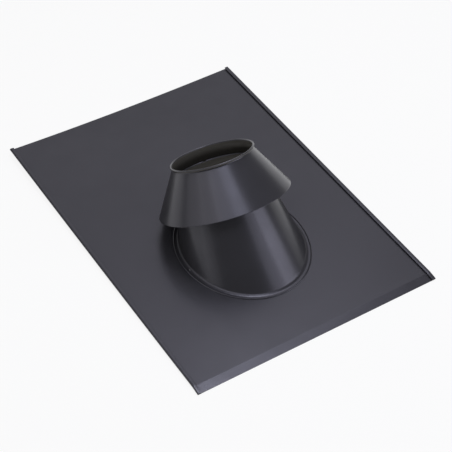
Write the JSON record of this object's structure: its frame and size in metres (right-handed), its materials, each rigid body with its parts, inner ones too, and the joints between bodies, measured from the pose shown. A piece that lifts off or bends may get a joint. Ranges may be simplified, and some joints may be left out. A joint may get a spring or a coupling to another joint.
{
  "type": "pipe flashing boot",
  "caption": "Roof flashing for a round pipe: hemmed sheet plate with a turned-down front edge, a leaning cone flanged to it, and a wider storm collar above on the same axis.",
  "frame": {"origin": "under the middle of the base plate, level with the lowest edge of its apron", "axes": "+X across the slope, +Y up the slope, +Z away from the roof"},
  "size_m": [0.5, 0.7006, 0.1847],
  "materials": {
    "plate_paint": "satin",
    "cone_paint": "satin",
    "bracket_paint": "satin"
  },
  "bodies": {
    "root": {"base_plate": "plate_paint", "boot_cone": "cone_paint", "storm_collar": "cone_paint", "collar_bracket_1": "bracket_paint", "collar_bracket_2": "bracket_paint", "collar_bracket_3": "bracket_paint"}
  },
  "joints": []
}
